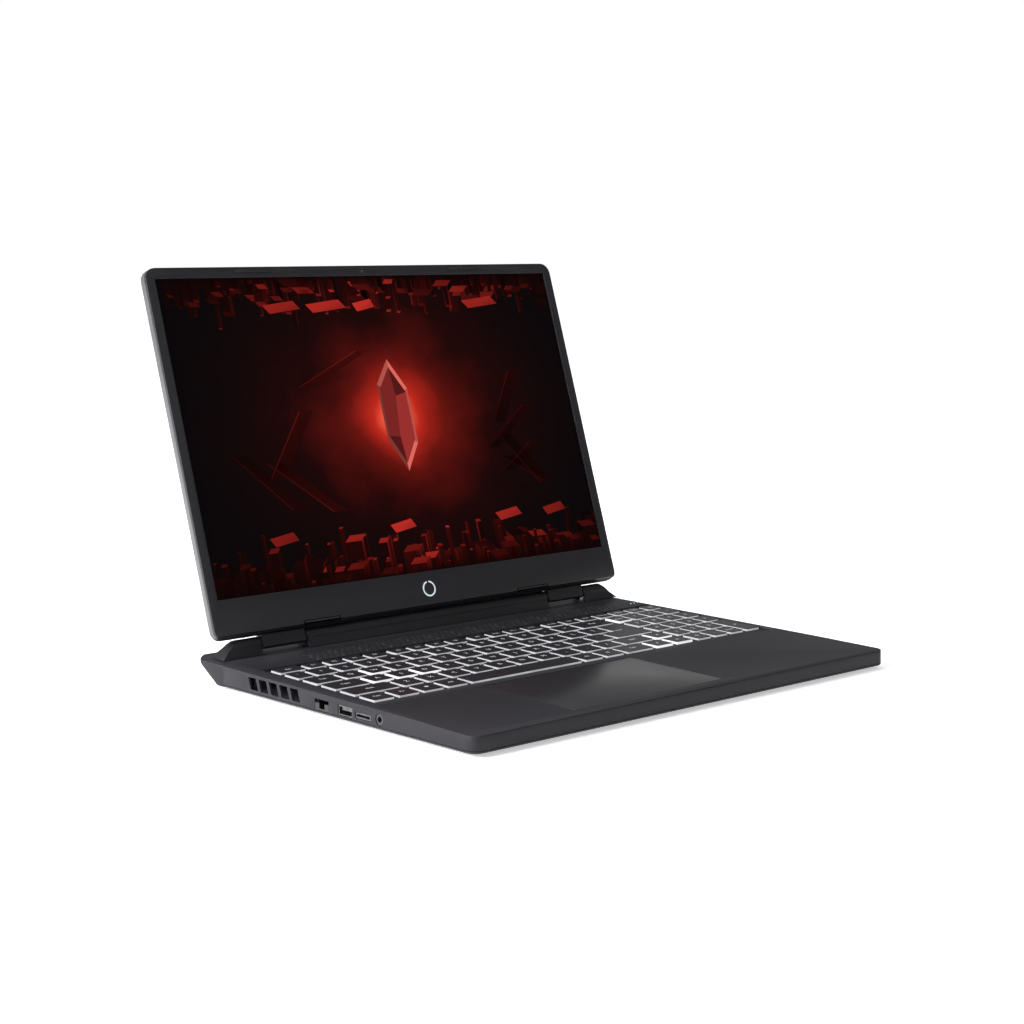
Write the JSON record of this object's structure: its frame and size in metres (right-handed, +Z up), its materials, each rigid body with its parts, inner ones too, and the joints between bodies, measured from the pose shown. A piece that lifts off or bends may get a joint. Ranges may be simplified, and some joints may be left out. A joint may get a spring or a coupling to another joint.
{
  "type": "laptop computer",
  "caption": "Clamshell laptop with a wedge base, full keyboard with number pad, touchpad, side ports, and a wide display lid on a rear hinge.",
  "frame": {"origin": "on the desk, straight below the hinge axis at mid-width: the centre of the rear foot's face", "axes": "+X to the user's right along the hinge, +Y to the rear, +Z up"},
  "size_m": [0.3602, 0.3375, 0.2701],
  "materials": {
    "shell_plastic": "fine matt texture",
    "hinge_cover": "satin",
    "keycap": "satin, lit sides",
    "touchpad_surface": "smooth satin",
    "black_plastic": "moulded",
    "socket_metal": "plated",
    "steel": "plain",
    "copper": "bare copper",
    "circuit_board": "solder mask",
    "battery_foil": "wrapped cells",
    "screen": "lit display",
    "rubber": "matt"
  },
  "bodies": {
    "base": {"top_cover": "shell_plastic", "rear_cover": "shell_plastic", "bottom_cover": "shell_plastic", "keyboard_frame": "shell_plastic", "hinge_center_cover": "hinge_cover", "hinge_cap_left": "hinge_cover", "hinge_cap_right": "hinge_cover", "ethernet_jack": "black_plastic", "audio_jack": "black_plastic", "dc_inlet": "black_plastic", "fan_housing_left": "black_plastic", "fan_housing_right": "black_plastic", "speaker_left": "black_plastic", "speaker_right": "black_plastic", "usb_a_jack_left": "socket_metal", "usb_a_jack_right": "socket_metal", "usb_c_jack": "socket_metal", "hdmi_jack": "socket_metal", "card_slot": "socket_metal", "hinge_base_bracket_left": "steel", "hinge_base_bracket_right": "steel", "bottom_screw_front_left": "steel", "bottom_screw_front_right": "steel", "bottom_screw_rear_left": "steel", "bottom_screw_rear_right": "steel", "keyboard_plate": "steel", "heat_pipe": "copper", "heatsink_left": "copper", "heatsink_right": "copper", "mainboard": "circuit_board", "ssd": "circuit_board", "memory_module": "circuit_board", "battery": "battery_foil", "foot_front_left": "rubber", "foot_front_right": "rubber", "foot_rear": "rubber"},
    "lid": {"lid_cover": "shell_plastic", "lid_bezel": "shell_plastic", "display_panel": "screen", "camera_module": "circuit_board", "lid_bumper_left": "rubber", "lid_bumper_right": "rubber", "hinge_lid_bracket_left": "steel", "hinge_lid_bracket_right": "steel"},
    "touchpad": {"touchpad": "touchpad_surface"},
    "ethernet_jaw": {"ethernet_jaw": "black_plastic"},
    "fan_rotor_left": {"fan_rotor_left": "black_plastic"},
    "fan_rotor_right": {"fan_rotor_right": "black_plastic"},
    "function_keys": {"function_keys": "keycap"},
    "number_keys": {"number_keys": "keycap"},
    "upper_letter_keys": {"upper_letter_keys": "keycap"},
    "home_letter_keys": {"home_letter_keys": "keycap"},
    "lower_letter_keys": {"lower_letter_keys": "keycap"},
    "bottom_left_keys": {"bottom_left_keys": "keycap"},
    "bottom_right_keys": {"bottom_right_keys": "keycap"},
    "numpad_keys": {"numpad_keys": "keycap"},
    "escape_key": {"escape_key": "keycap"},
    "power_button": {"power_button": "keycap"},
    "space_bar": {"space_bar": "keycap"},
    "enter_key": {"enter_key": "keycap"}
  },
  "joints": [
    {"name": "lid_hinge", "type": "hinge", "parent": "base", "child": "lid", "pos_m": [0, 0, 0.02465], "axis": [1, 0, 0], "range_deg": [-33, 108.6]},
    {"name": "touchpad_click", "type": "hinge", "parent": "base", "child": "touchpad", "pos_m": [-0.0304, -0.16725, 0.01414], "axis": [1, 0, 0], "range_deg": [0, 0.3], "stiffness_Nm_per_rad": 6, "springref_deg": -0.57},
    {"name": "ethernet_jaw_swing", "type": "hinge", "parent": "base", "child": "ethernet_jaw", "pos_m": [-0.17925, -0.1183, 0.0049], "axis": [0, -1, 0], "range_deg": [0, 35], "stiffness_Nm_per_rad": 0.002, "springref_deg": -11.46},
    {"name": "fan_spin_left", "type": "hinge", "parent": "base", "child": "fan_rotor_left", "pos_m": [-0.1195, -0.051, 0.0068], "axis": [0, 0, 1], "continuous": true},
    {"name": "fan_spin_right", "type": "hinge", "parent": "base", "child": "fan_rotor_right", "pos_m": [0.1195, -0.051, 0.0068], "axis": [0, 0, 1], "continuous": true},
    {"name": "function_keys_press", "type": "slide", "parent": "base", "child": "function_keys", "axis": [0, 0.0209, -0.9998], "range_m": [0, 0.0013], "stiffness_N_per_m": 1600, "springref_m": -0.0007},
    {"name": "number_keys_press", "type": "slide", "parent": "base", "child": "number_keys", "axis": [0, 0.0209, -0.9998], "range_m": [0, 0.0013], "stiffness_N_per_m": 1600, "springref_m": -0.0007},
    {"name": "upper_letter_keys_press", "type": "slide", "parent": "base", "child": "upper_letter_keys", "axis": [0, 0.0209, -0.9998], "range_m": [0, 0.0013], "stiffness_N_per_m": 1600, "springref_m": -0.0007},
    {"name": "home_letter_keys_press", "type": "slide", "parent": "base", "child": "home_letter_keys", "axis": [0, 0.0209, -0.9998], "range_m": [0, 0.0013], "stiffness_N_per_m": 1600, "springref_m": -0.0007},
    {"name": "lower_letter_keys_press", "type": "slide", "parent": "base", "child": "lower_letter_keys", "axis": [0, 0.0209, -0.9998], "range_m": [0, 0.0013], "stiffness_N_per_m": 1600, "springref_m": -0.0007},
    {"name": "bottom_left_keys_press", "type": "slide", "parent": "base", "child": "bottom_left_keys", "axis": [0, 0.0209, -0.9998], "range_m": [0, 0.0013], "stiffness_N_per_m": 1600, "springref_m": -0.0007},
    {"name": "bottom_right_keys_press", "type": "slide", "parent": "base", "child": "bottom_right_keys", "axis": [0, 0.0209, -0.9998], "range_m": [0, 0.0013], "stiffness_N_per_m": 1600, "springref_m": -0.0007},
    {"name": "numpad_keys_press", "type": "slide", "parent": "base", "child": "numpad_keys", "axis": [0, 0.0209, -0.9998], "range_m": [0, 0.0013], "stiffness_N_per_m": 1600, "springref_m": -0.0007},
    {"name": "escape_key_press", "type": "slide", "parent": "base", "child": "escape_key", "axis": [0, 0.0209, -0.9998], "range_m": [0, 0.0013], "stiffness_N_per_m": 400, "springref_m": -0.0007},
    {"name": "power_button_press", "type": "slide", "parent": "base", "child": "power_button", "axis": [0, 0.0209, -0.9998], "range_m": [0, 0.0013], "stiffness_N_per_m": 400, "springref_m": -0.0007},
    {"name": "space_bar_press", "type": "slide", "parent": "base", "child": "space_bar", "axis": [0, 0.0209, -0.9998], "range_m": [0, 0.0013], "stiffness_N_per_m": 400, "springref_m": -0.0007},
    {"name": "enter_key_press", "type": "slide", "parent": "base", "child": "enter_key", "axis": [0, 0.0209, -0.9998], "range_m": [0, 0.0013], "stiffness_N_per_m": 400, "springref_m": -0.0007}
  ]
}
